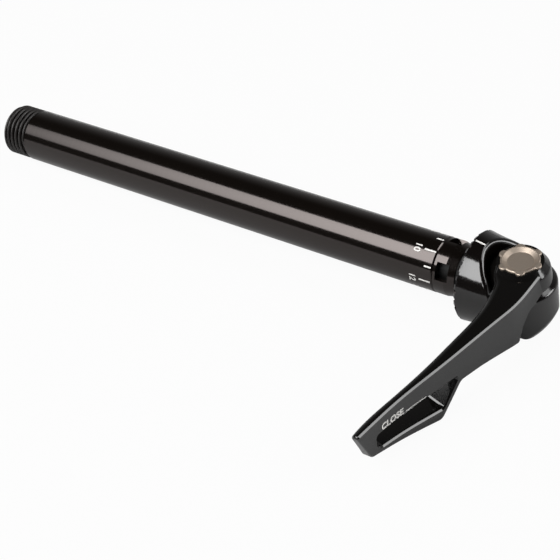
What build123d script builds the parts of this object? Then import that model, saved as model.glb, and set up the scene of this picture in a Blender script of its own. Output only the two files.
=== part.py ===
from build123d import *
import math
import os

os.makedirs("parts", exist_ok=True)

# Quick-lever thru axle for a 15 x 110 mm front hub. X runs along the axle towards the lever,
# Z is the lever's pivot axis, and the origin is the middle of the toothed clamp face.

# Axle tube and its threaded end
AXLE_LENGTH = 158.0
TUBE_R = 7.5
BORE_R = 5.2
END_BORE_R = 5.6
END_BORE_DEPTH = 12.0
END_CHAMFER = 1.1
JOINT_X = -8.85
SPIGOT_STEP = 1.0
SPIGOT_LENGTH = 1.0
THREAD_R = 7.45
THREAD_LENGTH = 9.0
RELIEF_WIDTH = 0.7
RELIEF_R = 6.6
SHOULDER_CHAMFER = 0.3

# Fits shared by the pieces
RUN_CLEAR = 0.04
SEAT_CLEAR = 0.02

# Expander collet and the cone that spreads it
COLLET_STEP = 0.05
COLLET_END_X = -2.6
NOSE_LENGTH = 2.7
NOSE_DROP = 0.7
NOSE_WALL = 0.35
TAPER_LEAD = 3.2
TAPER_RISE = 0.2
WINDOW_START = 1.0
WINDOW_LENGTH = 3.45
WINDOW_ANGLE = 38.0
WINDOW_PHASE = 151.0
WINDOW_COUNT = 4
SLEEVE_END_X = -21.0
SLEEVE_SEAT_STEP = 0.4
SLEEVE_SEAT_LENGTH = 3.4
SLEEVE_SHOULDER_X = 0.9
ROD_PASSAGE_R = 2.8
O_RING_X = -16.5
O_RING_SECTION_R = 0.48
O_RING_GROOVE_R = 4.2
O_RING_GROOVE_WIDTH = 1.3

# Draw rod, its nut and the spring on it
ROD_R = 2.5
ROD_END_INSET = 3.8
EYE_R = 5.6
EYE_THICK = 5.0
EYE_PLAY = 0.2
EYE_NECK = 1.0
EYE_NECK_ANGLE = 53.0
SLOT_END_CLEAR = 0.15
SLOT_CORNER_R = 3.0
NUT_R = 5.2
NUT_LENGTH = 5.4
NUT_SOCKET_AF = 5.5
NUT_SOCKET_DEPTH = 2.2
WEB_THICK = 4.0
WASHER_THICK = 1.0
CLICK_COUNT = 11
CLICK_R = 3.95
CLICK_HOLE_R = 0.45
CLICK_POCKET_DEPTH = 3.6
CLICK_WIRE_R = 0.25
CLICK_SPRING_R = 0.5
CLICK_PITCH = 0.62
CLICK_TURNS = 2
BALL_R = 0.75
SPRING_WIRE_R = 0.4
SPRING_MEAN_R = 3.6
SPRING_TURNS = 6
SPRING_END_GAP = 0.05
SPRING_SEAT_X = -36.0
SEAT_THICK = 1.0
SEAT_BORE_GAP = 0.3
CLIP_THICK = 0.6
CLIP_BORE_GAP = 0.8
CLIP_MOUTH = 3.0
CLIP_GROOVE_R = 2.0

# Head: toothed barrel, domed knuckle and the seat for the ear
RIM_R = 12.1
RIM_INNER_R = 9.6
RIM_CHAMFER = 0.6
BARREL_MID_X = 3.2
BARREL_MID_R = 11.7
BARREL_END_X = 9.3
BARREL_END_R = 11.35
BARREL_MID_DROP = 0.25
BARREL_DROP = 0.65
TOOTH_COUNT = 30
TOOTH_DEPTH = 0.85
TOOTH_GAP = 1.25
TOOTH_OVERRUN = 0.75
TOOTH_TAPER = 14.0
TOOTH_PHASE = 6.0
PIVOT_X = 13.29
KNUCKLE_R = 9.05
KNUCKLE_TOP_Z = 5.7
KNUCKLE_LOW_R = 11.85
KNUCKLE_LOW_ROUND = 1.5
KNUCKLE_TOP_ROUND = 1.0
HUB_R = 7.25
SHOULDER_TOP_Z = 4.2
SHOULDER_LOW_Z = 3.1
DOME_X = 6.73
DOME_OVER = 0.79
POCKET_STEP = 0.35
POCKET_ROUND = 1.3
CAVITY_R = 6.6
CAVITY_HEIGHT = 5.1
CAVITY_SHIFT = 0.1
EYE_SIDE_CLEAR = 0.15

# Cam shaft and its bearings
CAM_THROW = 0.6
CAM_R = 3.7
UPPER_JOURNAL_R = 4.8
LOWER_JOURNAL_R = 2.6
JOURNAL_RELIEF = 0.2
LOWER_BORE_R = 3.6
LOWER_BORE_Z = -8.2
UPPER_BORE_R = 6.2
UPPER_BORE_Z = 3.0
BUSH_HEIGHT = 1.1
FLANGE_R = 5.9
FLANGE_HEIGHT = 0.58
RING_THICK = 0.5
RING_MOUTH = 2.0
RING_INNER_R = 5.65
RING_OUTER_R = 6.85
LOBE_TIP_R = 5.87
LOBE_R = 1.3
LOBE_ROOT_R = 5.0
LOBE_SEAT_Z = 9.2
LOBE_COUNT = 6
LOBE_PHASE = -3.0
SPLINE_SHRINK = 0.45
SHAFT_TOP_Z = 10.25
SHAFT_END_GAP = 0.1
SHAFT_CHAMFER = 0.2
CAM_LAND = 0.1
DISH_R = 4.5
DISH_DEPTH = 0.75
DISH_SLOPE = 57.0

# Lever: ear, blade and window
EAR_R = 7.4
EAR_LOW_R = 8.0
EAR_TOP_Z = 9.8
EAR_CROWN_R = 5.95
EAR_BEVEL_DROP = 2.1
BLADE_TOP_Z = 8.8
HUB_CLEAR = 0.1
SHOULDER_CLEAR = 0.3
EAR_WASHER_THICK = 0.3
EAR_WASHER_INSET = 0.25
EAR_WASHER_EASE = 0.1
EAR_ROUND = 1.2
ROOT_CLEAR = 0.25
BACK_ROUND = 1.7
FACE_CHAMFER = 0.4
WINDOW_RISE = 8.0
WINDOW_CHAMFER = 0.35
WINDOW_LEAD = 1.0
EDGE_ROUND = 0.6
BLADE_DEPTH = 9.5

# Lever blade outline seen from above: flat face towards +X, back with forging draft towards the fork leg,
# at the blade's top and at its lowest level, which share the outer face and the back of the root
FACE_LINE = (
    (18.35, -18.5),
    (16.75, -25.2),
    (13.35, -39.9),
    (10.15, -52.9),
    (8.0, -65.7),
    (7.35, -70.0),
)
ROOT_LINE = (
    (10.1, -8.2),
    (9.1, -6.8),
    (7.8, -5.0),
    (6.6, -2.5),
)
FACE_TOP_LINE = (
    (19.4, 3.0),
    (19.75, 0.0),
    (19.8, -4.3),
    (19.75, -8.2),
    (19.6, -11.5),
    (19.15, -15.0),
    *FACE_LINE,
)
FACE_LOW_LINE = (
    (23.4, 3.0),
    (23.9, -0.5),
    (22.6, -4.3),
    (21.1, -8.2),
    (19.95, -11.5),
    (19.2, -15.0),
    *FACE_LINE,
)
BACK_TOP_LINE = (
    (5.4, -70.0),
    (6.15, -60.4),
    (7.5, -53.8),
    (10.0, -39.7),
    (11.2, -29.5),
    (12.0, -19.0),
    (11.6, -14.2),
    (10.95, -10.8),
    *ROOT_LINE,
)
BACK_LOW_LINE = (
    (6.6, -70.0),
    (4.6, -62.0),
    (4.7, -54.8),
    (7.1, -39.7),
    (8.9, -29.5),
    (10.8, -19.0),
    (10.9, -14.2),
    (10.7, -10.8),
    *ROOT_LINE,
)

# Lower edge seen along the axle as (Y, Z): ear, root, neck, hook and slanted tip
ROOT_CORNER = (-13.2, -4.4)
BELLY_CORNER = (-26.5, -1.75)
NECK_CORNER = (-33.6, -0.85)
HOOK_CORNER = (-40.8, -8.4)
TIP_CORNER = (-64.1, -1.3)
EDGE_LINE = (
    (12.0, 12.0),
    (12.0, SHOULDER_LOW_Z),
    (-8.0, SHOULDER_LOW_Z),
    (-9.4, 2.6),
    (-10.9, 1.0),
    ROOT_CORNER,
    BELLY_CORNER,
    NECK_CORNER,
    HOOK_CORNER,
    TIP_CORNER,
    (-69.1, 12.0),
)
EDGE_ROUNDS = (
    (ROOT_CORNER, 0.9),
    (BELLY_CORNER, 20.0),
    (NECK_CORNER, 1.8),
    (HOOK_CORNER, 2.0),
    (TIP_CORNER, 1.6),
)

# Window corners on the face, measured along the blade from the neck end and upwards
WINDOW_ROUNDS = (
    ((0.0, 1.4), 0.7),
    ((-28.1, 3.9), 0.8),
    ((-28.1, -0.55), 2.2),
    ((-6.25, -5.25), 1.2),
)
# Plane of the window on the blade's face
WINDOW_PLANE = Plane((14.7, -34.3, 0.0), x_dir=(0.2207, 0.9753, 0.0), z_dir=(0.9753, -0.2207, 0.0))

EAR_BOTTOM_Z = KNUCKLE_TOP_Z + EAR_WASHER_THICK
NUT_FACE_X = END_BORE_DEPTH - AXLE_LENGTH - WEB_THICK - WASHER_THICK
BALL_X = NUT_FACE_X - BALL_R - SEAT_CLEAR
SPIGOT_END_X = JOINT_X + SPIGOT_LENGTH
TAPER_START_X = SPIGOT_END_X + TAPER_LEAD
SPIGOT_R = TUBE_R - SPIGOT_STEP
COLLET_R = TUBE_R - COLLET_STEP
NOSE_R = COLLET_R - NOSE_DROP
TAPER_LARGE_R = NOSE_R - NOSE_WALL
TAPER_SMALL_R = TAPER_LARGE_R - TAPER_RISE
SLEEVE_SEAT_R = TAPER_LARGE_R - SLEEVE_SEAT_STEP
ROD_END_X = ROD_END_INSET - AXLE_LENGTH
KNUCKLE_FRONT_X = PIVOT_X + KNUCKLE_R
DOME_R = KNUCKLE_FRONT_X + DOME_OVER - DOME_X
EAR_POCKET_R = KNUCKLE_R - POCKET_STEP
CAM_X = PIVOT_X + CAM_THROW
EYE_NECK_X = EYE_R * math.cos(math.radians(EYE_NECK_ANGLE))
EYE_NECK_Y = EYE_R * math.sin(math.radians(EYE_NECK_ANGLE))
SLOT_WIDTH = 2 * (CAM_R + EYE_PLAY)
SLOT_LENGTH = 2 * (CAM_R + CAM_THROW + SLOT_END_CLEAR)
SPRING_SPAN = SLEEVE_END_X - SPRING_SEAT_X - 2 * (SPRING_WIRE_R + SPRING_END_GAP)
RING_Z = UPPER_BORE_Z + BUSH_HEIGHT + SEAT_CLEAR + FLANGE_HEIGHT
WINDOW_REACH = 2 * TUBE_R
WINDOW_HALF = WINDOW_REACH * math.tan(math.radians(WINDOW_ANGLE / 2))

# Axle tube: turned outside, counterbored at the threaded end for the anchor insert and the nut
with BuildPart() as axle_tube:
    with BuildSketch(Plane.XY):
        with BuildLine():
            Polyline(
                (-AXLE_LENGTH, END_BORE_R),
                (-AXLE_LENGTH, THREAD_R - END_CHAMFER),
                (END_CHAMFER - AXLE_LENGTH, THREAD_R),
                (THREAD_LENGTH - RELIEF_WIDTH - AXLE_LENGTH, THREAD_R),
                (THREAD_LENGTH - RELIEF_WIDTH - AXLE_LENGTH, RELIEF_R),
                (THREAD_LENGTH - AXLE_LENGTH, RELIEF_R),
                (THREAD_LENGTH - AXLE_LENGTH, TUBE_R),
                (JOINT_X - SHOULDER_CHAMFER, TUBE_R),
                (JOINT_X, TUBE_R - SHOULDER_CHAMFER),
                (JOINT_X, SPIGOT_R),
                (SPIGOT_END_X, SPIGOT_R),
                (SPIGOT_END_X, BORE_R),
                (END_BORE_DEPTH - AXLE_LENGTH, BORE_R),
                (END_BORE_DEPTH - AXLE_LENGTH, END_BORE_R),
                close=True,
            )
        make_face()
    revolve(axis=Axis.X)

# Anchor insert: web in the threaded end that the nut pulls against
with BuildPart() as anchor_insert:
    with BuildSketch(Plane.YZ.offset(END_BORE_DEPTH - AXLE_LENGTH)):
        Circle(END_BORE_R - SEAT_CLEAR)
        Circle(ROD_PASSAGE_R, mode=Mode.SUBTRACT)
    extrude(amount=-WEB_THICK)

# Thrust washer: the rod swivels on it, with a ring of holes for the click stop
with BuildPart() as thrust_washer:
    with BuildSketch(Plane.YZ.offset(END_BORE_DEPTH - AXLE_LENGTH - WEB_THICK)):
        Circle(NUT_R)
        Circle(ROD_PASSAGE_R, mode=Mode.SUBTRACT)
        with PolarLocations(CLICK_R, CLICK_COUNT):
            Circle(CLICK_HOLE_R, mode=Mode.SUBTRACT)
    extrude(amount=-WASHER_THICK)

# Tension nut: screwed on the rod's end, hexagon socket facing out, one pocket for the click ball
with BuildPart() as tension_nut:
    with BuildSketch(Plane.YZ.offset(NUT_FACE_X)):
        Circle(NUT_R - RUN_CLEAR)
        Circle(ROD_R + SEAT_CLEAR, mode=Mode.SUBTRACT)
    extrude(amount=-NUT_LENGTH)
    with BuildSketch(Plane.YZ.offset(NUT_FACE_X - NUT_LENGTH)):
        RegularPolygon(NUT_SOCKET_AF / 2, 6, major_radius=False)
    extrude(amount=NUT_SOCKET_DEPTH, mode=Mode.SUBTRACT)
    with BuildSketch(Plane.YZ.offset(NUT_FACE_X)):
        with Locations((CLICK_R, 0)):
            Circle(BALL_R + RUN_CLEAR)
    extrude(amount=-CLICK_POCKET_DEPTH, mode=Mode.SUBTRACT)

# Click ball and the small coil spring behind it in the nut
with BuildPart() as detent_ball:
    with Locations((BALL_X, CLICK_R, 0)):
        Sphere(BALL_R)

with BuildPart() as detent_spring:
    with BuildLine() as click_path:
        Helix(
            CLICK_PITCH,
            CLICK_TURNS * CLICK_PITCH,
            CLICK_SPRING_R,
            center=(BALL_X - BALL_R - CLICK_WIRE_R, CLICK_R, 0),
            direction=(-1, 0, 0),
        )
    with BuildSketch(Plane(click_path.line @ 0, z_dir=click_path.line % 0)):
        Circle(CLICK_WIRE_R)
    sweep(path=click_path.line, is_frenet=True)

# Expander collet: split ring with four windows, seated on the tube's spigot, tapered inside
with BuildPart() as expander_collet:
    with BuildSketch(Plane.XY):
        with BuildLine():
            Polyline(
                (JOINT_X, COLLET_R - SHOULDER_CHAMFER),
                (JOINT_X + SHOULDER_CHAMFER, COLLET_R),
                (COLLET_END_X - NOSE_LENGTH, COLLET_R),
                (COLLET_END_X, NOSE_R),
                (COLLET_END_X, TAPER_LARGE_R),
                (TAPER_START_X, TAPER_SMALL_R),
                (SPIGOT_END_X + SEAT_CLEAR, TAPER_SMALL_R),
                (SPIGOT_END_X + SEAT_CLEAR, SPIGOT_R + SEAT_CLEAR),
                (JOINT_X, SPIGOT_R + SEAT_CLEAR),
                close=True,
            )
        make_face()
    revolve(axis=Axis.X)
    with BuildSketch(Plane.YZ.offset(JOINT_X + WINDOW_START)):
        with PolarLocations(0, WINDOW_COUNT, start_angle=WINDOW_PHASE):
            Polygon((0, 0), (WINDOW_REACH, -WINDOW_HALF), (WINDOW_REACH, WINDOW_HALF), align=None)
    extrude(amount=WINDOW_LENGTH, mode=Mode.SUBTRACT)

# Expander cone: guide sleeve pressed in the head, running in the tube's bore
with BuildPart() as expander_cone:
    with BuildSketch(Plane.XY):
        with BuildLine():
            Polyline(
                (SLEEVE_END_X, ROD_PASSAGE_R),
                (SLEEVE_END_X, BORE_R - RUN_CLEAR),
                (TAPER_START_X, BORE_R - RUN_CLEAR),
                (TAPER_START_X, TAPER_SMALL_R - RUN_CLEAR),
                (COLLET_END_X, TAPER_LARGE_R - RUN_CLEAR),
                (SLEEVE_SHOULDER_X, TAPER_LARGE_R - RUN_CLEAR),
                (SLEEVE_SHOULDER_X, SLEEVE_SEAT_R - SEAT_CLEAR),
                (SLEEVE_SHOULDER_X + SLEEVE_SEAT_LENGTH, SLEEVE_SEAT_R - SEAT_CLEAR),
                (SLEEVE_SHOULDER_X + SLEEVE_SEAT_LENGTH, ROD_PASSAGE_R),
                close=True,
            )
        make_face()
        with Locations((O_RING_X, (O_RING_GROOVE_R + TUBE_R) / 2)):
            Rectangle(O_RING_GROOVE_WIDTH, TUBE_R - O_RING_GROOVE_R, mode=Mode.SUBTRACT)
    revolve(axis=Axis.X)

# Sleeve seal: rubber ring in the sleeve's groove
with BuildPart() as sleeve_o_ring:
    with BuildSketch(Plane.XY):
        with Locations((O_RING_X, BORE_R - SEAT_CLEAR - O_RING_SECTION_R)):
            Circle(O_RING_SECTION_R)
    revolve(axis=Axis.X)

# Draw rod: round rod with a flat eye, slotted across so the cam only pulls along the axle
with BuildPart() as draw_rod:
    with BuildSketch(Plane.XY.offset(-EYE_THICK / 2)):
        with Locations((CAM_X, 0)):
            Circle(EYE_R)
        with BuildLine():
            Polyline(
                (CAM_X - EYE_NECK_X, -EYE_NECK_Y),
                (CAM_X - EYE_NECK_X, EYE_NECK_Y),
                (CAM_X - EYE_R - EYE_NECK, ROD_R),
                (CAM_X - EYE_R - EYE_NECK, -ROD_R),
                close=True,
            )
        make_face()
        with Locations((CAM_X, 0)):
            RectangleRounded(SLOT_WIDTH, SLOT_LENGTH, SLOT_CORNER_R, mode=Mode.SUBTRACT)
    extrude(amount=EYE_THICK)
    with BuildSketch(Plane.YZ.offset(ROD_END_X)):
        Circle(ROD_R)
    extrude(amount=CAM_X - EYE_R - EYE_NECK / 2 - ROD_END_X)
    with BuildSketch(Plane.YZ.offset(SPRING_SEAT_X - SEAT_THICK)):
        Circle(2 * ROD_R)
        Circle(CLIP_GROOVE_R, mode=Mode.SUBTRACT)
    extrude(amount=-CLIP_THICK - SEAT_CLEAR, mode=Mode.SUBTRACT)

# Spring seat: washer that slides on the rod up to the clip
with BuildPart() as spring_seat:
    with BuildSketch(Plane.YZ.offset(SPRING_SEAT_X)):
        Circle(BORE_R - SEAT_BORE_GAP)
        Circle(ROD_R + RUN_CLEAR, mode=Mode.SUBTRACT)
    extrude(amount=-SEAT_THICK)

# Rod clip: open spring clip in the rod's groove
with BuildPart() as rod_clip:
    with BuildSketch(Plane.YZ.offset(SPRING_SEAT_X - SEAT_THICK)):
        Circle(BORE_R - CLIP_BORE_GAP)
        Circle(CLIP_GROOVE_R + SEAT_CLEAR, mode=Mode.SUBTRACT)
        with Locations((0, -BORE_R / 2)):
            Rectangle(CLIP_MOUTH, BORE_R, mode=Mode.SUBTRACT)
    extrude(amount=-CLIP_THICK)

# Return spring: coil round the rod between the sleeve and the seat
with BuildPart() as return_spring:
    with BuildLine() as spring_path:
        Helix(
            SPRING_SPAN / SPRING_TURNS,
            SPRING_SPAN,
            SPRING_MEAN_R,
            center=(SPRING_SEAT_X + SPRING_WIRE_R + SPRING_END_GAP, 0, 0),
            direction=(1, 0, 0),
        )
    with BuildSketch(Plane(spring_path.line @ 0, z_dir=spring_path.line % 0)):
        Circle(SPRING_WIRE_R)
    sweep(path=spring_path.line, is_frenet=True)

# Head body: lofted barrel and domed knuckle in one forging, bored for the sleeve, rod eye and shaft
with BuildPart() as knuckle:
    with BuildSketch(Plane.XZ):
        with BuildLine():
            Polyline(
                (PIVOT_X, -RIM_R),
                (KNUCKLE_FRONT_X, -RIM_R),
                (KNUCKLE_FRONT_X, SHOULDER_LOW_Z),
                (PIVOT_X + HUB_R, SHOULDER_TOP_Z),
                (PIVOT_X + HUB_R, KNUCKLE_TOP_Z),
                (PIVOT_X, KNUCKLE_TOP_Z),
                close=True,
            )
        make_face()
    revolve(axis=Axis((PIVOT_X, 0, 0), (0, 0, 1)))
    shoulder_edges = knuckle.edges().filter_by(GeomType.CIRCLE).group_by(Axis.Z)[1]
    fillet(shoulder_edges, KNUCKLE_TOP_ROUND)
    with Locations((DOME_X, 0, 0)):
        Sphere(DOME_R, mode=Mode.INTERSECT)
    with BuildSketch(Plane.YZ):
        Circle(KNUCKLE_LOW_R)
    extrude(amount=KNUCKLE_FRONT_X + DOME_OVER, mode=Mode.INTERSECT)
    low_edges = knuckle.edges().filter_by(lambda e: e.center().X > PIVOT_X and e.center().Z < -SHOULDER_LOW_Z)
    fillet(low_edges, KNUCKLE_LOW_ROUND)

with BuildPart() as head_body:
    with BuildSketch(Plane.YZ):
        Circle(RIM_R)
    with BuildSketch(Plane.YZ.offset(BARREL_MID_X)):
        with Locations((0, -BARREL_MID_DROP)):
            Circle(BARREL_MID_R)
    with BuildSketch(Plane.YZ.offset(BARREL_END_X)):
        with Locations((0, -BARREL_DROP)):
            Circle(BARREL_END_R)
    loft()
    chamfer(head_body.faces().sort_by(Axis.X)[0].edges(), RIM_CHAMFER)
    with BuildSketch(Plane.XY.offset(SHOULDER_LOW_Z)):
        with Locations((PIVOT_X, 0)):
            Circle(EAR_POCKET_R)
    extrude(amount=RIM_R, mode=Mode.SUBTRACT)
    pocket_wall = head_body.faces().filter_by(GeomType.CYLINDER).sort_by(Axis.X)[-1]
    fillet(pocket_wall.edges().sort_by(Axis.Z)[-1], POCKET_ROUND)
    add(knuckle.part)
    with BuildSketch(Plane.YZ):
        Circle(RIM_INNER_R)
    extrude(amount=SLEEVE_SHOULDER_X, mode=Mode.SUBTRACT)
    with BuildSketch(Plane.YZ):
        with PolarLocations((RIM_R + RIM_INNER_R) / 2, TOOTH_COUNT, start_angle=TOOTH_PHASE):
            Rectangle(RIM_R - RIM_INNER_R + 2 * TOOTH_OVERRUN, TOOTH_GAP)
    extrude(amount=TOOTH_DEPTH, taper=TOOTH_TAPER, mode=Mode.SUBTRACT)
    with BuildSketch(Plane.YZ.offset(SLEEVE_SHOULDER_X)):
        Circle(SLEEVE_SEAT_R)
    extrude(amount=SLEEVE_SEAT_LENGTH, mode=Mode.SUBTRACT)
    with BuildSketch(Plane.XY.offset(-CAVITY_HEIGHT / 2)):
        with Locations((PIVOT_X + CAVITY_SHIFT, 0)):
            Circle(CAVITY_R)
        with Locations(((PIVOT_X + SLEEVE_SHOULDER_X) / 2, 0)):
            Rectangle(PIVOT_X - SLEEVE_SHOULDER_X, 2 * (EYE_R + EYE_SIDE_CLEAR))
    extrude(amount=CAVITY_HEIGHT, mode=Mode.SUBTRACT)
    with BuildSketch(Plane.XY.offset(UPPER_BORE_Z)):
        with Locations((PIVOT_X, 0)):
            Circle(UPPER_BORE_R + SEAT_CLEAR)
    extrude(amount=KNUCKLE_TOP_Z - UPPER_BORE_Z, mode=Mode.SUBTRACT)
    with BuildSketch(Plane.XY):
        with Locations((PIVOT_X, 0)):
            Circle(UPPER_JOURNAL_R + JOURNAL_RELIEF)
    extrude(amount=UPPER_BORE_Z, mode=Mode.SUBTRACT)
    with BuildSketch(Plane.XY.offset(LOWER_BORE_Z)):
        with Locations((PIVOT_X, 0)):
            Circle(LOWER_BORE_R + SEAT_CLEAR)
    extrude(amount=-LOWER_BORE_Z, mode=Mode.SUBTRACT)
    with BuildSketch(Plane.XY.offset(RING_Z)):
        with Locations((PIVOT_X, 0)):
            Circle(RING_OUTER_R + SEAT_CLEAR)
    extrude(amount=RING_THICK + 2 * SEAT_CLEAR, mode=Mode.SUBTRACT)

# Plain bearings of the cam shaft
with BuildPart() as cam_bush_upper:
    with BuildSketch(Plane.XY.offset(UPPER_BORE_Z)):
        with Locations((PIVOT_X, 0)):
            Circle(UPPER_BORE_R)
            Circle(UPPER_JOURNAL_R + RUN_CLEAR, mode=Mode.SUBTRACT)
    extrude(amount=BUSH_HEIGHT)

with BuildPart() as cam_bush_lower:
    with BuildSketch(Plane.XY.offset(LOWER_BORE_Z)):
        with Locations((PIVOT_X, 0)):
            Circle(LOWER_BORE_R)
            Circle(LOWER_JOURNAL_R + RUN_CLEAR, mode=Mode.SUBTRACT)
    extrude(amount=-LOWER_BORE_Z - CAVITY_HEIGHT / 2)

# Shaft ring: split retaining ring in the head's groove, over the shaft's flange
with BuildPart() as shaft_ring:
    with BuildSketch(Plane.XY.offset(RING_Z + SEAT_CLEAR)):
        with Locations((PIVOT_X, 0)):
            Circle(RING_OUTER_R)
            Circle(RING_INNER_R, mode=Mode.SUBTRACT)
        with Locations((PIVOT_X + RING_OUTER_R, 0)):
            Rectangle(2 * RING_MOUTH, RING_MOUTH, mode=Mode.SUBTRACT)
    extrude(amount=RING_THICK)

# Cam shaft: lower journal, cam, upper journal, flange, spline and the peened six-lobe end
with BuildPart() as cam_shaft:
    with BuildSketch(Plane.XY.offset(LOWER_BORE_Z + SHAFT_END_GAP)):
        with Locations((PIVOT_X, 0)):
            Circle(LOWER_JOURNAL_R)
    extrude(amount=-LOWER_BORE_Z)
    with BuildSketch(Plane.XY.offset(-EYE_THICK / 2)):
        with Locations((CAM_X, 0)):
            Circle(CAM_R)
    extrude(amount=EYE_THICK + CAM_LAND)
    with BuildSketch(Plane.XY.offset(EYE_THICK / 2 + CAM_LAND)):
        with Locations((PIVOT_X, 0)):
            Circle(UPPER_JOURNAL_R)
    extrude(amount=UPPER_BORE_Z + BUSH_HEIGHT + SEAT_CLEAR - EYE_THICK / 2 - CAM_LAND)
    with BuildSketch(Plane.XY.offset(UPPER_BORE_Z + BUSH_HEIGHT + SEAT_CLEAR)):
        with Locations((PIVOT_X, 0)):
            Circle(FLANGE_R)
    extrude(amount=FLANGE_HEIGHT)
    with BuildSketch(Plane.XY.offset(RING_Z)):
        with Locations((PIVOT_X, 0)):
            Circle(LOBE_ROOT_R - SPLINE_SHRINK)
            with PolarLocations(LOBE_TIP_R - LOBE_R, LOBE_COUNT, start_angle=LOBE_PHASE):
                Circle(LOBE_R - SPLINE_SHRINK)
    extrude(amount=LOBE_SEAT_Z - RING_Z)
    with BuildSketch(Plane.XY.offset(LOBE_SEAT_Z)):
        with Locations((PIVOT_X, 0)):
            Circle(LOBE_ROOT_R)
            with PolarLocations(LOBE_TIP_R - LOBE_R, LOBE_COUNT, start_angle=LOBE_PHASE):
                Circle(LOBE_R)
    extrude(amount=SHAFT_TOP_Z - LOBE_SEAT_Z)
    chamfer(cam_shaft.faces().sort_by(Axis.Z)[-1].edges(), SHAFT_CHAMFER)
    with BuildSketch(Plane.XY.offset(SHAFT_TOP_Z)):
        with Locations((PIVOT_X, 0)):
            Circle(DISH_R)
    extrude(amount=-DISH_DEPTH, taper=DISH_SLOPE, mode=Mode.SUBTRACT)

# Ear washer: thin low-friction ring between knuckle and ear
with BuildPart() as ear_washer:
    with BuildSketch(Plane.XY.offset(KNUCKLE_TOP_Z)):
        with Locations((PIVOT_X, 0)):
            Circle(HUB_R - EAR_WASHER_INSET)
            Circle(UPPER_BORE_R + EAR_WASHER_EASE, mode=Mode.SUBTRACT)
    extrude(amount=EAR_WASHER_THICK)

# Lever ear: bevelled cap over the knuckle's hub
with BuildPart() as ear:
    with BuildSketch(Plane.XZ):
        with BuildLine():
            Polyline(
                (PIVOT_X, SHOULDER_LOW_Z),
                (PIVOT_X + EAR_LOW_R, SHOULDER_LOW_Z),
                (PIVOT_X + EAR_R, EAR_TOP_Z - EAR_BEVEL_DROP),
                (PIVOT_X + EAR_CROWN_R, EAR_TOP_Z),
                (PIVOT_X, EAR_TOP_Z),
                close=True,
            )
        make_face()
    revolve(axis=Axis((PIVOT_X, 0, 0), (0, 0, 1)))
    fillet(ear.edges().filter_by(GeomType.CIRCLE).group_by(Axis.Z)[-2], EAR_ROUND)

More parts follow.
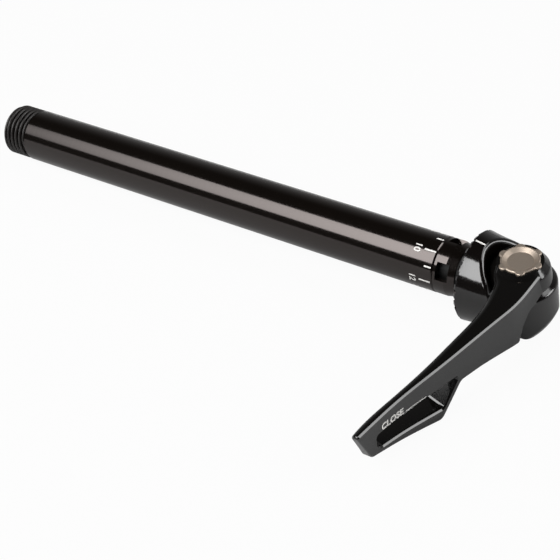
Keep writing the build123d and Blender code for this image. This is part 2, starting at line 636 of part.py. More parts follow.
# Lever: forged blade with a rounded back and a bright edge on the face, joined to the ear
with BuildPart() as lever:
    for level, face_line, back_line in (
        (-BLADE_DEPTH, FACE_LOW_LINE, BACK_LOW_LINE),
        (BLADE_TOP_Z, FACE_TOP_LINE, BACK_TOP_LINE),
    ):
        with BuildSketch(Plane.XY.offset(level)):
            with BuildLine():
                face_curve = Spline(*face_line)
                back_curve = Spline(*back_line)
                Line(face_curve @ 1, back_curve @ 0)
                Line(back_curve @ 1, face_curve @ 0)
            make_face()
    loft(ruled=True)
    long_edges = lever.faces().sort_by(Axis.Z)[-1].edges().sort_by(SortBy.LENGTH)[-2:]
    fillet(long_edges.sort_by(Axis.X)[0], BACK_ROUND)
    flat_top = lever.faces().filter_by(Axis.Z).sort_by(Axis.Z)[-1]
    chamfer(flat_top.edges().sort_by(SortBy.LENGTH)[-2:].sort_by(Axis.X)[-1], FACE_CHAMFER)
    with BuildSketch(Plane.YZ) as edge_profile:
        with BuildLine():
            Polyline(*EDGE_LINE, close=True)
        make_face()
        for corner, size in EDGE_ROUNDS:
            fillet(edge_profile.vertices().sort_by_distance(corner)[0], size)
    extrude(amount=4 * RIM_R, both=True, mode=Mode.INTERSECT)
    tip_face = lever.faces().filter_by(GeomType.PLANE).sort_by(Axis.Y)[0]
    fillet(tip_face.edges(), EDGE_ROUND)
    with BuildSketch(WINDOW_PLANE.offset(WINDOW_LEAD)) as window:
        with BuildLine():
            Polyline(*[corner for corner, size in WINDOW_ROUNDS], close=True)
        make_face()
        for corner, size in WINDOW_ROUNDS:
            fillet(window.vertices().sort_by_distance(corner)[0], size)
    window_way = Vector(-WINDOW_PLANE.z_dir).rotate(Axis((0, 0, 0), WINDOW_PLANE.x_dir), WINDOW_RISE)
    extrude(amount=BLADE_DEPTH, dir=window_way, mode=Mode.SUBTRACT)
    pierced = lever.faces().filter_by(lambda f: len(f.inner_wires()) > 0).sort_by(Axis.X)[-1]
    chamfer(pierced.inner_wires()[0].edges(), WINDOW_CHAMFER)
    add(ear.part)
    with BuildSketch(Plane.XZ):
        with BuildLine():
            Polyline(
                (PIVOT_X, -2 * BLADE_DEPTH),
                (KNUCKLE_FRONT_X + ROOT_CLEAR, -2 * BLADE_DEPTH),
                (KNUCKLE_FRONT_X + ROOT_CLEAR, SHOULDER_LOW_Z + SHOULDER_CLEAR),
                (PIVOT_X + HUB_R + HUB_CLEAR, SHOULDER_TOP_Z + SHOULDER_CLEAR),
                (PIVOT_X + HUB_R + HUB_CLEAR, EAR_BOTTOM_Z),
                (PIVOT_X, EAR_BOTTOM_Z),
                close=True,
            )
        make_face()
    revolve(axis=Axis((PIVOT_X, 0, 0), (0, 0, 1)), mode=Mode.SUBTRACT)
    with BuildSketch(Plane.XY.offset(EAR_BOTTOM_Z)):
        with Locations((PIVOT_X, 0)):
            Circle(LOBE_ROOT_R - SPLINE_SHRINK + SEAT_CLEAR)
            with PolarLocations(LOBE_TIP_R - LOBE_R, LOBE_COUNT, start_angle=LOBE_PHASE):
                Circle(LOBE_R - SPLINE_SHRINK + SEAT_CLEAR)
    extrude(amount=LOBE_SEAT_Z - EAR_BOTTOM_Z, mode=Mode.SUBTRACT)
    with BuildSketch(Plane.XY.offset(LOBE_SEAT_Z)):
        with Locations((PIVOT_X, 0)):
            Circle(LOBE_ROOT_R + SEAT_CLEAR)
            with PolarLocations(LOBE_TIP_R - LOBE_R, LOBE_COUNT, start_angle=LOBE_PHASE):
                Circle(LOBE_R + SEAT_CLEAR)
    extrude(amount=SHAFT_TOP_Z - LOBE_SEAT_Z, mode=Mode.SUBTRACT)

PIECES = {
    "axle_tube": axle_tube,
    "anchor_insert": anchor_insert,
    "thrust_washer": thrust_washer,
    "tension_nut": tension_nut,
    "detent_ball": detent_ball,
    "detent_spring": detent_spring,
    "expander_collet": expander_collet,
    "expander_cone": expander_cone,
    "sleeve_o_ring": sleeve_o_ring,
    "draw_rod": draw_rod,
    "spring_seat": spring_seat,
    "rod_clip": rod_clip,
    "return_spring": return_spring,
    "head_body": head_body,
    "cam_bush_upper": cam_bush_upper,
    "cam_bush_lower": cam_bush_lower,
    "shaft_ring": shaft_ring,
    "cam_shaft": cam_shaft,
    "ear_washer": ear_washer,
    "lever": lever,
}
for name, piece in PIECES.items():
    piece.part.label = name
    export_step(piece.part, f"parts/{name}.step")
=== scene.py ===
import math

import bmesh
import bpy
from mathutils import Matrix, Vector
from mathutils.bvhtree import BVHTree


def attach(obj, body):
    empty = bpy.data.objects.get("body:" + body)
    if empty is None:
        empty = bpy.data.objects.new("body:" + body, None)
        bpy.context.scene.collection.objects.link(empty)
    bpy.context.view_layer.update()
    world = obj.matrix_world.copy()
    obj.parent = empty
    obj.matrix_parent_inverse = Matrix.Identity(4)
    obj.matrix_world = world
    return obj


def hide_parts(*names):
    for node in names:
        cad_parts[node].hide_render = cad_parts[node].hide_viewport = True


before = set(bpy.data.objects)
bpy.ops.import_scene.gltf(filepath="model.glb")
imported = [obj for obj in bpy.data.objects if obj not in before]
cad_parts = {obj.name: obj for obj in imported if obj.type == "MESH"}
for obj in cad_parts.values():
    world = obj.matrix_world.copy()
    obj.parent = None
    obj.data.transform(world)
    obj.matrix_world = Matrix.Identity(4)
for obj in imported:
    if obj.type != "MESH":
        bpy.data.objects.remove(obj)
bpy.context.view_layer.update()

# Axle tube: one length of aluminium, turned, bored, polished and black anodised. The collet seats on
# the spigot at its near end, and the far end is cut down for the thread. Sizes are in mm, and X runs
# along the axle from the middle of the head's toothed clamp face.
MM = 0.001
tube_points = [vertex.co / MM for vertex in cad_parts["axle_tube"].data.vertices]
TUBE_R = max(point.yz.length for point in tube_points)
TUBE_BORE_R = min(point.yz.length for point in tube_points)
TUBE_END_X = min(point.x for point in tube_points)
SPIGOT_END_X = max(point.x for point in tube_points)
SPIGOT_LENGTH = 1.0
SPIGOT_R = 6.5
SHOULDER_CHAMFER = 0.3
END_BORE_R = 5.6
END_BORE_DEPTH = 12.0
END_BORE_CHAMFER = 0.25
END_CHAMFER = 0.3
THREAD_LENGTH = 9.0
THREAD_ROOT_R = 6.62
PLAIN_CHAMFER = 0.15
TURN_STEPS = 144
SHARP_ANGLE = 28
MERGE_GAP = 0.001


def placed(name, data):
    """A new object in the scene that holds the given data."""
    made = bpy.data.objects.new(name, data)
    bpy.context.scene.collection.objects.link(made)
    return made


def outward(mesh, gap):
    """Merges points closer than the gap and turns every face outwards."""
    work = bmesh.new()
    work.from_mesh(mesh)
    bmesh.ops.remove_doubles(work, verts=work.verts, dist=gap)
    bmesh.ops.recalc_face_normals(work, faces=work.faces)
    work.to_mesh(mesh)
    work.free()


def turned(name, profile, steps):
    """A closed outline of (x, r) points in mm, turned about the X axis into a mesh object."""
    mesh = bpy.data.meshes.new(name)
    verts = []
    faces = []
    count = len(profile)
    for i in range(steps):
        a = 2 * math.pi * i / steps
        verts += [(x * MM, r * MM * math.cos(a), r * MM * math.sin(a)) for x, r in profile]
    for i in range(steps):
        j = (i + 1) % steps
        for k in range(count):
            n = (k + 1) % count
            faces.append((i * count + k, j * count + k, j * count + n, i * count + n))
    mesh.from_pydata(verts, [], faces)
    outward(mesh, MERGE_GAP * MM)
    mesh.shade_smooth()
    mesh.set_sharp_from_angle(angle=math.radians(SHARP_ANGLE))
    return placed(name, mesh)


shoulder_x = SPIGOT_END_X - SPIGOT_LENGTH
end_bore_x = TUBE_END_X + END_BORE_DEPTH
plain_start_x = TUBE_END_X + THREAD_LENGTH
tube = turned(
    "axle_tube_turned",
    (
        (TUBE_END_X, END_BORE_R + END_BORE_CHAMFER),
        (TUBE_END_X, THREAD_ROOT_R - END_CHAMFER),
        (TUBE_END_X + END_CHAMFER, THREAD_ROOT_R),
        (plain_start_x, THREAD_ROOT_R),
        (plain_start_x, TUBE_R - PLAIN_CHAMFER),
        (plain_start_x + PLAIN_CHAMFER, TUBE_R),
        (shoulder_x - SHOULDER_CHAMFER, TUBE_R),
        (shoulder_x, TUBE_R - SHOULDER_CHAMFER),
        (shoulder_x, SPIGOT_R),
        (SPIGOT_END_X, SPIGOT_R),
        (SPIGOT_END_X, TUBE_BORE_R),
        (end_bore_x, TUBE_BORE_R),
        (end_bore_x, END_BORE_R),
        (TUBE_END_X + END_BORE_CHAMFER, END_BORE_R),
    ),
    TURN_STEPS,
)


def linear(code):
    """An sRGB hex colour as linear RGBA."""
    parts = [int(code[i : i + 2], 16) / 255 for i in (1, 3, 5)]
    return (*[c / 12.92 if c <= 0.04045 else ((c + 0.055) / 1.055) ** 2.4 for c in parts], 1.0)


def put(tree, kind, links=None, **settings):
    """Adds a node with its settings, and sets or links its inputs."""
    made = tree.nodes.new(kind)
    for name, value in settings.items():
        setattr(made, name, value)
    for key, value in (links or {}).items():
        if isinstance(value, bpy.types.NodeSocket):
            tree.links.new(value, made.inputs[key])
        else:
            made.inputs[key].default_value = value
    return made


def finish_material(name, constants=None):
    """A node material with constants set on its shader, and its tree and that shader."""
    material = bpy.data.materials.new(name)
    material.use_nodes = True
    tree = material.node_tree
    skin = tree.nodes["Principled BSDF"]
    for socket, value in (constants or {}).items():
        skin.inputs[socket].default_value = value
    return material, tree, skin


def mottle(tree, skin, patch, detail, tints=None, rough=None, grain=None):
    """Varies a finish by noise whose patches are this many mm across.

    It blends two tints and two values of roughness, and raises a grain of a strength and a depth in mm.
    """
    place = put(tree, "ShaderNodeTexCoord").outputs["Object"]
    noise = put(tree, "ShaderNodeTexNoise", {"Vector": place, "Scale": 1 / MM / patch, "Detail": detail})
    spread = noise.outputs["Fac"]
    if tints:
        mixed = put(
            tree, "ShaderNodeMix",
            {"Factor": spread, "A": linear(tints[0]), "B": linear(tints[1])},
            data_type="RGBA",
        )
        tree.links.new(mixed.outputs["Result"], skin.inputs["Base Color"])
    if rough:
        ranged = put(tree, "ShaderNodeMapRange", {"Value": spread, "To Min": rough[0], "To Max": rough[1]})
        tree.links.new(ranged.outputs["Result"], skin.inputs["Roughness"])
    if grain:
        relief = put(
            tree, "ShaderNodeBump",
            {"Height": spread, "Strength": grain[0], "Distance": grain[1] * MM},
        )
        tree.links.new(relief.outputs["Normal"], skin.inputs["Normal"])


# Black anodised aluminium, turned: a dyed oxide skin, so the gloss is that of a clear dielectric on
# black, with fine lathe rings. The real rings are 0.05 mm apart and are drawn 1.9 mm apart to show.
# At a scale of 1, the wave texture repeats every pi / 10.
RING_SPACING = 1.885
RING_DEPTH = 0.02
WAVE_PERIOD = math.pi / 10
turned_black, tree, skin = finish_material(
    "black_anodised_turned",
    {"Base Color": linear("#0C0907"), "IOR": 1.62, "Specular Tint": linear("#FFF2EE")},
)
mottle(tree, skin, patch=6.0, detail=4.0, rough=(0.1, 0.15))
place = put(tree, "ShaderNodeTexCoord").outputs["Object"]
rings = put(
    tree, "ShaderNodeTexWave",
    {"Vector": place, "Scale": WAVE_PERIOD / (RING_SPACING * MM), "Distortion": 0.6},
    wave_type="BANDS", bands_direction="X",
)
relief = put(
    tree, "ShaderNodeBump",
    {"Height": rings.outputs["Fac"], "Strength": 0.05, "Distance": RING_DEPTH * MM},
)
tree.links.new(relief.outputs["Normal"], skin.inputs["Normal"])

# Black anodised aluminium, thread cut: the same skin over torn tool marks, so duller than the tube.
thread_black, tree, skin = finish_material(
    "black_anodised_thread", {"Base Color": linear("#17120F"), "IOR": 1.62}
)
mottle(tree, skin, patch=0.2, detail=3.0, rough=(0.4, 0.48), grain=(0.04, 0.02))

tube.data.materials.append(turned_black)
tube.data.materials.append(thread_black)
for face in tube.data.polygons:
    beside_thread = face.center.x < (plain_start_x + MERGE_GAP) * MM
    outside_bore = face.center.yz.length > (END_BORE_R + END_BORE_CHAMFER) * MM
    face.material_index = int(beside_thread and outside_bore)
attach(tube, "axle")
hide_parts("axle_tube")

# Thread on the tube's end, M15 x 1.5: one right-hand ridge of 60 degree section wound along the root.
# It is bevelled where it starts at the end face and cut off square where it runs out at the plain
# tube. It was cut before the tube was anodised.
THREAD_PITCH = 1.5
THREAD_CREST_R = 7.45
THREAD_FLAT = 0.22
THREAD_FLANK = 30
THREAD_SINK = 0.12
THREAD_LEAD_R = 6.4
THREAD_LEAD_IN = 0.3
THREAD_RUN_OUT = 0.75
THREAD_FACE_STEP = 0.02
RIDGE_STEPS = 96
RIDGE_MERGE_GAP = 0.008


def growth(name, inputs):
    """An empty Geometry Nodes tree with named inputs, and its input and output nodes."""
    tree = bpy.data.node_groups.new(name, "GeometryNodeTree")
    for label, kind in inputs:
        tree.interface.new_socket(label, in_out="INPUT", socket_type=kind)
    tree.interface.new_socket("Geometry", in_out="OUTPUT", socket_type="NodeSocketGeometry")
    return tree, tree.nodes.new("NodeGroupInput"), tree.nodes.new("NodeGroupOutput")


def grown(name, tree, values):
    """A plain mesh object grown by a Geometry Nodes tree with its named inputs set."""
    seed = placed(name, bpy.data.meshes.new(name + "_seed"))
    grower = seed.modifiers.new("grow", "NODES")
    grower.node_group = tree
    for item in tree.interface.items_tree:
        if item.in_out == "INPUT":
            grower[item.identifier] = values[item.name]
    held = seed.evaluated_get(bpy.context.evaluated_depsgraph_get())
    mesh = bpy.data.meshes.new_from_object(held)
    seed.modifiers.remove(grower)
    seed.data = mesh
    mesh.name = name
    return seed


tree, given, result = growth(
    "thread_ridge",
    (
        ("Middle Radius", "NodeSocketFloat"),
        ("Base Width", "NodeSocketFloat"),
        ("Crest Width", "NodeSocketFloat"),
        ("Height", "NodeSocketFloat"),
        ("Turns", "NodeSocketFloat"),
        ("Length", "NodeSocketFloat"),
        ("Start", "NodeSocketVector"),
        ("End Face", "NodeSocketFloat"),
        ("Lead Radius", "NodeSocketFloat"),
        ("Merge Gap", "NodeSocketFloat"),
        ("Finish", "NodeSocketMaterial"),
    ),
)
size = given.outputs
spiral = put(
    tree, "GeometryNodeCurveSpiral",
    {
        "Resolution": RIDGE_STEPS,
        "Rotations": size["Turns"],
        "Start Radius": size["Middle Radius"],
        "End Radius": size["Middle Radius"],
        "Height": size["Length"],
        "Reverse": True,
    },
)
upright = put(tree, "GeometryNodeSetCurveNormal", {"Curve": spiral.outputs["Curve"]}, mode="Z_UP")
section = put(
    tree, "GeometryNodeCurvePrimitiveQuadrilateral",
    {
        "Bottom Width": size["Base Width"],
        "Top Width": size["Crest Width"],
        "Height": size["Height"],
        "Offset": 0.0,
    },
    mode="TRAPEZOID",
)
crest_out = put(
    tree, "GeometryNodeTransform",
    {"Geometry": section.outputs["Curve"], "Rotation": (0, 0, -math.pi / 2)},
)
ridge = put(
    tree, "GeometryNodeCurveToMesh",
    {
        "Curve": upright.outputs["Curve"],
        "Profile Curve": crest_out.outputs["Geometry"],
        "Fill Caps": True,
    },
)
laid = put(
    tree, "GeometryNodeTransform",
    {
        "Geometry": ridge.outputs["Mesh"],
        "Translation": size["Start"],
        "Rotation": (0, math.pi / 2, 0),
    },
)
# Bevel: no point lies past the end face, or further out than its depth behind the face allows.
spot = put(tree, "ShaderNodeSeparateXYZ", {"Vector": put(tree, "GeometryNodeInputPosition").outputs[0]})
inside = put(tree, "ShaderNodeMath", {0: spot.outputs["X"], 1: size["End Face"]}, operation="MAXIMUM")
depth = put(tree, "ShaderNodeMath", {0: inside.outputs[0], 1: size["End Face"]}, operation="SUBTRACT")
limit = put(tree, "ShaderNodeMath", {0: depth.outputs[0], 1: size["Lead Radius"]}, operation="ADD")
radial = put(tree, "ShaderNodeCombineXYZ", {"Y": spot.outputs["Y"], "Z": spot.outputs["Z"]})
out = put(tree, "ShaderNodeVectorMath", {0: radial.outputs[0]}, operation="LENGTH")
over = put(tree, "ShaderNodeMath", {0: limit.outputs[0], 1: out.outputs["Value"]}, operation="DIVIDE")
keep = put(tree, "ShaderNodeMath", {0: over.outputs[0], 1: 1.0}, operation="MINIMUM")
drawn = put(
    tree, "ShaderNodeVectorMath",
    {0: radial.outputs[0], "Scale": keep.outputs[0]},
    operation="SCALE",
)
axial = put(tree, "ShaderNodeCombineXYZ", {"X": inside.outputs[0]})
where = put(tree, "ShaderNodeVectorMath", {0: drawn.outputs[0], 1: axial.outputs[0]}, operation="ADD")
bevelled = put(
    tree, "GeometryNodeSetPosition",
    {"Geometry": laid.outputs["Geometry"], "Position": where.outputs[0]},
)
joined = put(
    tree, "GeometryNodeMergeByDistance",
    {"Geometry": bevelled.outputs["Geometry"], "Distance": size["Merge Gap"]},
)
made = put(tree, "GeometryNodeRealizeInstances", {"Geometry": joined.outputs["Geometry"]})
coated = put(
    tree, "GeometryNodeSetMaterial",
    {"Geometry": made.outputs["Geometry"], "Material": size["Finish"]},
)
tree.links.new(coated.outputs["Geometry"], result.inputs["Geometry"])

thread_start_x = TUBE_END_X - THREAD_LEAD_IN
ridge_length = plain_start_x - THREAD_RUN_OUT - thread_start_x
ridge_height = THREAD_CREST_R - THREAD_ROOT_R + THREAD_SINK
ridge_base = THREAD_FLAT + 2 * ridge_height * math.tan(math.radians(THREAD_FLANK))
thread = grown(
    "axle_thread",
    tree,
    {
        "Middle Radius": (THREAD_CREST_R - ridge_height / 2) * MM,
        "Base Width": ridge_base * MM,
        "Crest Width": THREAD_FLAT * MM,
        "Height": ridge_height * MM,
        "Turns": ridge_length / THREAD_PITCH,
        "Length": ridge_length * MM,
        "Start": (thread_start_x * MM, 0.0, 0.0),
        "End Face": (TUBE_END_X + THREAD_FACE_STEP) * MM,
        "Lead Radius": THREAD_LEAD_R * MM,
        "Merge Gap": RIDGE_MERGE_GAP * MM,
        "Finish": thread_black,
    },
)
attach(thread, "axle")

# Tension scale printed round the tube next to the collet: eleven marks from 2 to 12, the even ones
# long with their number. White screen ink, two hundredths of a millimetre thick.
MARK_COUNT = 11
MARK_END_X = -9.2
MARK_LONG = 3.3
MARK_SHORT = 2.0
MARK_WIDTH = 0.45
MARK_START_ANGLE = -146.4
DECAL_LIFT = 0.012
DECAL_THICK = 0.02

# Screen ink: a matt opaque white resin, slightly uneven where it was laid down. The same white
# also makes the painted highlight strip along the lever's window.
white_ink_and_highlight, tree, skin = finish_material("white_ink_and_painted_highlight", {"Roughness": 0.5})
mottle(tree, skin, patch=0.4, detail=3.0, tints=("#F4F2EF", "#E9E7E3"), grain=(0.1, 0.01))

tree, given, result = growth(
    "scale_marks",
    (
        ("Count", "NodeSocketInt"),
        ("Radius", "NodeSocketFloat"),
        ("Thickness", "NodeSocketFloat"),
        ("Width", "NodeSocketFloat"),
        ("Short", "NodeSocketFloat"),
        ("Long", "NodeSocketFloat"),
        ("Start Angle", "NodeSocketFloat"),
        ("End", "NodeSocketVector"),
        ("Finish", "NodeSocketMaterial"),
    ),
)
size = given.outputs
places = put(tree, "GeometryNodePoints", {"Count": size["Count"]})
index = put(tree, "GeometryNodeInputIndex").outputs["Index"]
pitch = put(tree, "ShaderNodeMath", {0: 2 * math.pi, 1: size["Count"]}, operation="DIVIDE")
turn = put(
    tree, "ShaderNodeMath",
    {0: index, 1: pitch.outputs[0], 2: size["Start Angle"]},
    operation="MULTIPLY_ADD",
)
spin = put(tree, "ShaderNodeCombineXYZ", {"X": turn.outputs[0]})
odd = put(tree, "ShaderNodeMath", {0: index, 1: 2.0}, operation="MODULO")
reach = put(
    tree, "ShaderNodeMix",
    {"Factor": odd.outputs[0], "A": size["Long"], "B": size["Short"]},
    data_type="FLOAT",
)
stretch = put(tree, "ShaderNodeCombineXYZ", {"X": reach.outputs[0], "Y": 1.0, "Z": 1.0})
bar_size = put(tree, "ShaderNodeCombineXYZ", {"X": 1.0, "Y": size["Thickness"], "Z": size["Width"]})
bar = put(tree, "GeometryNodeMeshCube", {"Size": bar_size.outputs[0]})
shift = put(tree, "ShaderNodeCombineXYZ", {"X": -0.5, "Y": size["Radius"]})
moved = put(
    tree, "GeometryNodeTransform",
    {"Geometry": bar.outputs["Mesh"], "Translation": shift.outputs[0]},
)
ring = put(
    tree, "GeometryNodeInstanceOnPoints",
    {
        "Points": places.outputs[0],
        "Instance": moved.outputs["Geometry"],
        "Rotation": spin.outputs[0],
        "Scale": stretch.outputs[0],
    },
)
slid = put(
    tree, "GeometryNodeTransform",
    {"Geometry": ring.outputs["Instances"], "Translation": size["End"]},
)
made = put(tree, "GeometryNodeRealizeInstances", {"Geometry": slid.outputs["Geometry"]})
coated = put(
    tree, "GeometryNodeSetMaterial",
    {"Geometry": made.outputs["Geometry"], "Material": size["Finish"]},
)
tree.links.new(coated.outputs["Geometry"], result.inputs["Geometry"])
marks = grown(
    "scale_marks",
    tree,
    {
        "Count": MARK_COUNT,
        "Radius": (TUBE_R + DECAL_LIFT) * MM,
        "Thickness": DECAL_THICK * MM,
        "Width": MARK_WIDTH * MM,
        "Short": MARK_SHORT * MM,
        "Long": MARK_LONG * MM,
        "Start Angle": math.radians(MARK_START_ANGLE),
        "End": (MARK_END_X * MM, 0.0, 0.0),
        "Finish": white_ink_and_highlight,
    },
)
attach(marks, "axle")

# Numbers of the scale: printed with the marks in the same ink, one behind each long mark, and read
# round the tube.
NUMBER_FIRST = 2
NUMBER_X = -14.5
NUMBER_HEIGHT = 1.85
NUMBER_WEIGHT = 0.02
CAPITAL_SHARE = 0.7
CURVE_STEPS = 4


def lettering(name, words, height, weight):
    """Flat letters of ink in mm, set upright in the XY plane and centred, as a mesh object."""
    curve = bpy.data.curves.new(name, "FONT")
    curve.body = words
    curve.size = height / CAPITAL_SHARE
    curve.align_x = "CENTER"
    curve.align_y = "CENTER"
    curve.resolution_u = CURVE_STEPS
    curve.extrude = DECAL_THICK / 2
    curve.offset = weight * height
    outline = placed(name + "_outline", curve)
    held = outline.evaluated_get(bpy.context.evaluated_depsgraph_get())
    mesh = bpy.data.meshes.new_from_object(held)
    bpy.data.objects.remove(outline)
    outward(mesh, MERGE_GAP)
    mesh.materials.append(white_ink_and_highlight)
    return placed(name, mesh)


for step in range(0, MARK_COUNT, 2):
    value = NUMBER_FIRST + step
    angle = math.radians(MARK_START_ANGLE + 360 / MARK_COUNT * step)
    number = lettering(f"scale_number_{value}", str(value), NUMBER_HEIGHT, NUMBER_WEIGHT)
    for vertex in number.data.vertices:
        u, v, w = vertex.co
        a = angle + u / TUBE_R
        r = TUBE_R + DECAL_LIFT + w
        vertex.co = ((NUMBER_X + v) * MM, r * math.cos(a) * MM, r * math.sin(a) * MM)
    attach(number, "axle")

# Draw rod with its anchor insert, thrust washer, nut, click ball and spring seat: turned steel, zinc
# plated, pressed, screwed or slid in place. Zinc gives a cool grey satin metal with faint cloudy
# passivation.
zinc_steel, tree, skin = finish_material("zinc_plated_steel", {"Metallic": 1.0})
mottle(
    tree, skin, patch=3.0, detail=5.0,
    tints=("#A9ABB0", "#C6C7C9"), rough=(0.28, 0.42), grain=(0.1, 0.03),
)


def dress(material, *names):
    """Gives CAD nodes a material."""
    for name in names:
        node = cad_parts[name]
        node.data.materials.clear()
        node.data.materials.append(material)


dress(
    zinc_steel,
    "draw_rod", "anchor_insert", "thrust_washer", "tension_nut", "detent_ball", "spring_seat",
)

# Springs, rod clip and shaft ring: hardened spring steel, wound or bent and then blackened in oil, so
# dark grey with a low sheen. They are held in seats and grooves by their own tension.
spring_steel, tree, skin = finish_material("oiled_spring_steel", {"Metallic": 1.0, "Roughness": 0.38})
mottle(tree, skin, patch=1.5, detail=4.0, tints=("#4A4A4D", "#66666A"), grain=(0.1, 0.02))
dress(spring_steel, "detent_spring", "return_spring", "rod_clip", "shaft_ring")

# Bushes of the cam shaft: two rings of sintered bronze pressed in the head, a porous yellow-brown
# metal with a dull surface.
bronze, tree, skin = finish_material("sintered_bronze", {"Metallic": 1.0, "Roughness": 0.5})
mottle(tree, skin, patch=0.25, detail=3.0, tints=("#8A6A3C", "#B08B52"), grain=(0.3, 0.02))
dress(bronze, "cam_bush_upper", "cam_bush_lower")

# Sleeve seal: a moulded nitrile ring, matt black, stretched into the groove of the guide sleeve to
# keep dirt out of the tube.
nitrile, tree, skin = finish_material("nitrile_rubber", {"Base Color": linear("#151515")})
mottle(tree, skin, patch=0.5, detail=3.0, rough=(0.55, 0.75), grain=(0.15, 0.02))
dress(nitrile, "sleeve_o_ring")

# Ear washer: a thin ring punched from black acetal, smooth and waxy, that lies between the lever's
# ear and the knuckle.
acetal, tree, skin = finish_material("black_acetal", {"Base Color": linear("#1A1A1A")})
mottle(tree, skin, patch=1.0, detail=2.0, rough=(0.35, 0.5))
dress(acetal, "ear_washer")

# Expander collet: seated on the tube's spigot, turned with the tube's own finish, and windowed so
# that the cone can spread it in the fork end.
dress(turned_black, "expander_collet")

# Expander cone with its guide sleeve: turned steel pressed in the head, phosphated and oiled, so a
# dull near-black that holds grease.
phosphated, tree, skin = finish_material(
    "phosphated_steel", {"Base Color": linear("#0C0C0B"), "IOR": 1.4, "Roughness": 0.6}
)
mottle(tree, skin, patch=0.1, detail=3.0, grain=(0.2, 0.01))
dress(phosphated, "expander_cone")

# Head: hot-forged aluminium, tumbled smooth, machined for the sleeve and the shaft, then black
# anodised with a deep gloss. A toothed rim grips the fork end.
forged_black, tree, skin = finish_material(
    "black_anodised_forged", {"Base Color": linear("#0C0908"), "IOR": 1.66}
)
mottle(tree, skin, patch=4.0, detail=2.0, rough=(0.08, 0.14))
mottle(tree, skin, patch=0.35, detail=2.0, grain=(0.05, 0.02))
dress(forged_black, "head_body")

# Index line: one short bar of the same white ink, printed on top of the head's barrel and read
# against the scale. It follows the barrel's curve.
INDEX_START_X = 0.95
INDEX_END_X = 3.6
INDEX_WIDTH = 0.5
INDEX_STEPS = 8
CAST_HEIGHT = 40.0
UP = Vector((0, 0, 1))


def printed_strip(name, surface, start, end, across, way, steps):
    """A closed strip of white between two points in mm, cast on a surface that faces the given way."""
    mesh = bpy.data.meshes.new(name)
    verts = []
    faces = []
    for step in range(steps + 1):
        middle = start.lerp(end, step / steps)
        for edge in (middle - across / 2, middle + across / 2):
            hit = surface.ray_cast((edge + way * CAST_HEIGHT) * MM, -way)[0]
            verts += [hit + way * DECAL_LIFT * MM, hit - way * DECAL_THICK * MM]
    for step in range(steps):
        a = 4 * step
        faces += [
            (a, a + 4, a + 6, a + 2),
            (a + 1, a + 3, a + 7, a + 5),
            (a, a + 1, a + 5, a + 4),
            (a + 2, a + 6, a + 7, a + 3),
        ]
    last = 4 * steps
    faces += [(0, 2, 3, 1), (last, last + 1, last + 3, last + 2)]
    mesh.from_pydata(verts, [], faces)
    mesh.materials.append(white_ink_and_highlight)
    return placed(name, mesh)


head_faces = BVHTree.FromObject(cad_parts["head_body"], bpy.context.evaluated_depsgraph_get())
index_line = printed_strip(
    "index_line",
    head_faces,
    Vector((INDEX_START_X, 0, 0)),
    Vector((INDEX_END_X, 0, 0)),
    Vector((0, INDEX_WIDTH, 0)),
    UP,
    INDEX_STEPS,
)
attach(index_line, "head")

# Cam shaft: machined steel with a six-lobed end peened over the ear, plated in a warm pale nickel
# tone with a satin surface.
pale_nickel, tree, skin = finish_material("satin_nickel_plate", {"Metallic": 1.0, "Roughness": 0.55})
mottle(tree, skin, patch=0.3, detail=3.0, tints=("#B1A496", "#BDB0A3"), grain=(0.15, 0.02))
dress(pale_nickel, "cam_shaft")

# Lever: one aluminium forging, trimmed, its window pierced, tumbled and black anodised with the
# same deep gloss as the head.
lever_black, tree, skin = finish_material(
    "black_anodised_lever", {"Base Color": linear("#0D0C0B"), "IOR": 1.62}
)
mottle(tree, skin, patch=5.0, detail=2.0, rough=(0.07, 0.11))
mottle(tree, skin, patch=0.3, detail=2.0, grain=(0.03, 0.02))
dress(lever_black, "lever")

# Word printed above the window to say which way the lever clamps, in the same white ink, laid on
# the blade's face.
WORD_Y = -56.2
WORD_Z = 4.9
WORD_SLOPE = -5.3
WORD_HEIGHT = 1.75
WORD_WEIGHT = 0.055
FACE_WAY = Vector((1, 0, 0))
lever_faces = BVHTree.FromObject(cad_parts["lever"], bpy.context.evaluated_depsgraph_get())
word = lettering("close_word", "CLOSE", WORD_HEIGHT, WORD_WEIGHT)
slope = math.radians(WORD_SLOPE)
for vertex in word.data.vertices:
    u, v, w = vertex.co
    y = WORD_Y + u * math.cos(slope) - v * math.sin(slope)
    z = WORD_Z + u * math.sin(slope) + v * math.cos(slope)
    hit = lever_faces.ray_cast(Vector((CAST_HEIGHT, y, z)) * MM, -FACE_WAY)[0]
    vertex.co = (hit.x + (DECAL_LIFT + w) * MM, y * MM, z * MM)
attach(word, "lever")

# Painted highlight: a thin white strip that runs on from the word along the window's upper edge,
# laid in the same white material as the word on the blade's face where a bright edge line shows.
HIGHLIGHT_START = Vector((0, -51.7, 3.85))
HIGHLIGHT_END = Vector((0, -45.2, 3.25))
HIGHLIGHT_WIDTH = 0.26
HIGHLIGHT_STEPS = 12
painted_edge_highlight = printed_strip(
    "painted_edge_highlight", lever_faces, HIGHLIGHT_START, HIGHLIGHT_END, UP * HIGHLIGHT_WIDTH, FACE_WAY, HIGHLIGHT_STEPS
)
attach(painted_edge_highlight, "lever")

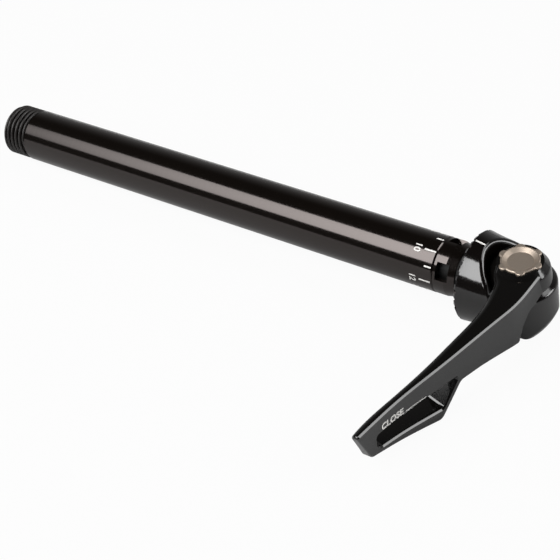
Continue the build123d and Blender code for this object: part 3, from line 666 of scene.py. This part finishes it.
# Table that the axle lies on: a wide white sheet touching the head's rim, the lever's hook and the
# tube's threaded end. It shows as white and keeps a faint soft shadow.
REST_NORMAL = Vector((0.0293, 0.1008, 0.9945)).normalized()
REST_OFFSET = -12.01
TABLE_HALF = 4000.0
SHOWN_SHARE = 0.95
MIRRORED_SHARE = 0.1
table_white, tree, skin = finish_material("white_table")
tree.nodes.remove(skin)
lit = put(tree, "ShaderNodeBsdfDiffuse", {"Color": linear("#BCBCBC")})
shown = put(tree, "ShaderNodeEmission", {"Color": linear("#FFFFFF"), "Strength": 1.0})
path = put(tree, "ShaderNodeLightPath").outputs
seen = put(
    tree, "ShaderNodeMath",
    {0: path["Is Camera Ray"], 1: path["Is Transmission Ray"]},
    operation="MAXIMUM",
)
direct = put(tree, "ShaderNodeMath", {0: seen.outputs[0], 1: SHOWN_SHARE}, operation="MULTIPLY")
share = put(
    tree, "ShaderNodeMath",
    {0: path["Is Glossy Ray"], 1: MIRRORED_SHARE, 2: direct.outputs[0]},
    operation="MULTIPLY_ADD",
)
sheet = put(tree, "ShaderNodeMixShader", {"Fac": share.outputs[0], 1: lit.outputs[0], 2: shown.outputs[0]})
tree.links.new(sheet.outputs[0], tree.nodes["Material Output"].inputs["Surface"])
mesh = bpy.data.meshes.new("table")
across = Vector((1, 0, 0))
across = (across - REST_NORMAL * across.dot(REST_NORMAL)).normalized()
along = REST_NORMAL.cross(across)
corners = [
    (REST_NORMAL * REST_OFFSET + (across * a + along * b) * TABLE_HALF) * MM
    for a, b in ((-1, -1), (1, -1), (1, 1), (-1, 1))
]
mesh.from_pydata(corners, [], [(0, 1, 2, 3)])
mesh.materials.append(table_white)
table = placed("table", mesh)

# Studio: one large soft box along the axle on the camera's side, brighter towards the head, a
# smaller one on the right for the edges, a dimmer one behind for the far side, and a dim grey room.
# Its sizes are in metres.
BOX_DISTANCE = 0.9
ROOM_GLOW = 0.32
ROOM_DARK = 0.015


def soft_box(name, aim, azimuth, elevation, size, ramp, levels):
    """A soft light that faces a point, its radiance running between two levels over a ramp in X."""
    mesh = bpy.data.meshes.new(name)
    x, y = size[0] / 2, size[1] / 2
    mesh.from_pydata([(-x, -y, 0), (x, -y, 0), (x, y, 0), (-x, y, 0)], [], [(0, 1, 2, 3)])
    cloth, tree, skin = finish_material(name + "_cloth")
    tree.nodes.remove(skin)
    place = put(tree, "ShaderNodeTexCoord").outputs["Object"]
    side = put(tree, "ShaderNodeSeparateXYZ", {"Vector": place})
    level = put(
        tree, "ShaderNodeMapRange",
        {
            "Value": side.outputs["X"],
            "From Min": ramp[0],
            "From Max": ramp[1],
            "To Min": levels[0],
            "To Max": levels[1],
        },
    )
    glow = put(
        tree, "ShaderNodeEmission",
        {"Color": linear("#FFFFFF"), "Strength": level.outputs["Result"]},
    )
    tree.links.new(glow.outputs[0], tree.nodes["Material Output"].inputs["Surface"])
    mesh.materials.append(cloth)
    made = placed(name, mesh)
    a = math.radians(azimuth)
    e = math.radians(elevation)
    way = Vector((math.cos(e) * math.cos(a), math.cos(e) * math.sin(a), math.sin(e)))
    across = Vector((-math.sin(a), math.cos(a), 0))
    turn = Matrix((across, way.cross(across), way)).transposed()
    made.matrix_world = Matrix.Translation(Vector(aim) + way * BOX_DISTANCE) @ turn.to_4x4()
    made.visible_camera = False


soft_box(
    "key_box", aim=(-0.53, 0.0, 0.0), azimuth=-90, elevation=56,
    size=(1.04, 0.727), ramp=(-0.52, 0.08), levels=(0.2, 7.3),
)
soft_box(
    "edge_box", aim=(0.0, -0.02, 0.0), azimuth=31, elevation=25,
    size=(0.45, 0.43), ramp=(-0.2, 0.2), levels=(5.7, 5.7),
)
soft_box(
    "back_box", aim=(-0.05, 0.0, 0.0), azimuth=52, elevation=50,
    size=(0.5, 0.3), ramp=(-0.25, 0.25), levels=(2.9, 2.9),
)
room = bpy.data.worlds.new("dim_room")
bpy.context.scene.world = room
room.use_nodes = True
tree = room.node_tree
way = put(tree, "ShaderNodeSeparateXYZ", {"Vector": put(tree, "ShaderNodeTexCoord").outputs["Generated"]})
low = put(
    tree, "ShaderNodeMapRange",
    {"Value": way.outputs["Z"], "From Min": 0.0, "From Max": 0.7, "To Min": 1.0, "To Max": 0.0},
)
far = put(
    tree, "ShaderNodeMapRange",
    {"Value": way.outputs["Y"], "From Min": -0.2, "From Max": 0.6, "To Min": 0.12, "To Max": 1.0},
)
glow = put(
    tree, "ShaderNodeMath",
    {0: low.outputs["Result"], 1: far.outputs["Result"]},
    operation="MULTIPLY",
)
level = put(
    tree, "ShaderNodeMath",
    {0: glow.outputs[0], 1: ROOM_GLOW, 2: ROOM_DARK},
    operation="MULTIPLY_ADD",
)
tree.links.new(level.outputs[0], tree.nodes["Background"].inputs["Strength"])
tree.nodes["Background"].inputs["Color"].default_value = linear("#FFFFFF")

# Camera at the photograph's place: high on the lever's side, looking down along the axle through a
# long lens. Its place is in metres and its turn in degrees.
CAMERA_PLACE = (0.16283, -0.25839, 0.27646)
CAMERA_TURN = (48.0875, 8.4013, 34.0391)
SENSOR_WIDTH = 36.0
FOCAL_PIXELS = 1600
IMAGE_PIXELS = 560
lens = bpy.data.cameras.new("camera")
lens.sensor_width = SENSOR_WIDTH
lens.lens = SENSOR_WIDTH * FOCAL_PIXELS / IMAGE_PIXELS
lens.clip_start = 0.01
camera = placed("camera", lens)
camera.location = CAMERA_PLACE
camera.rotation_euler = [math.radians(degrees) for degrees in CAMERA_TURN]
bpy.context.scene.camera = camera
bpy.context.scene.view_settings.view_transform = "Standard"
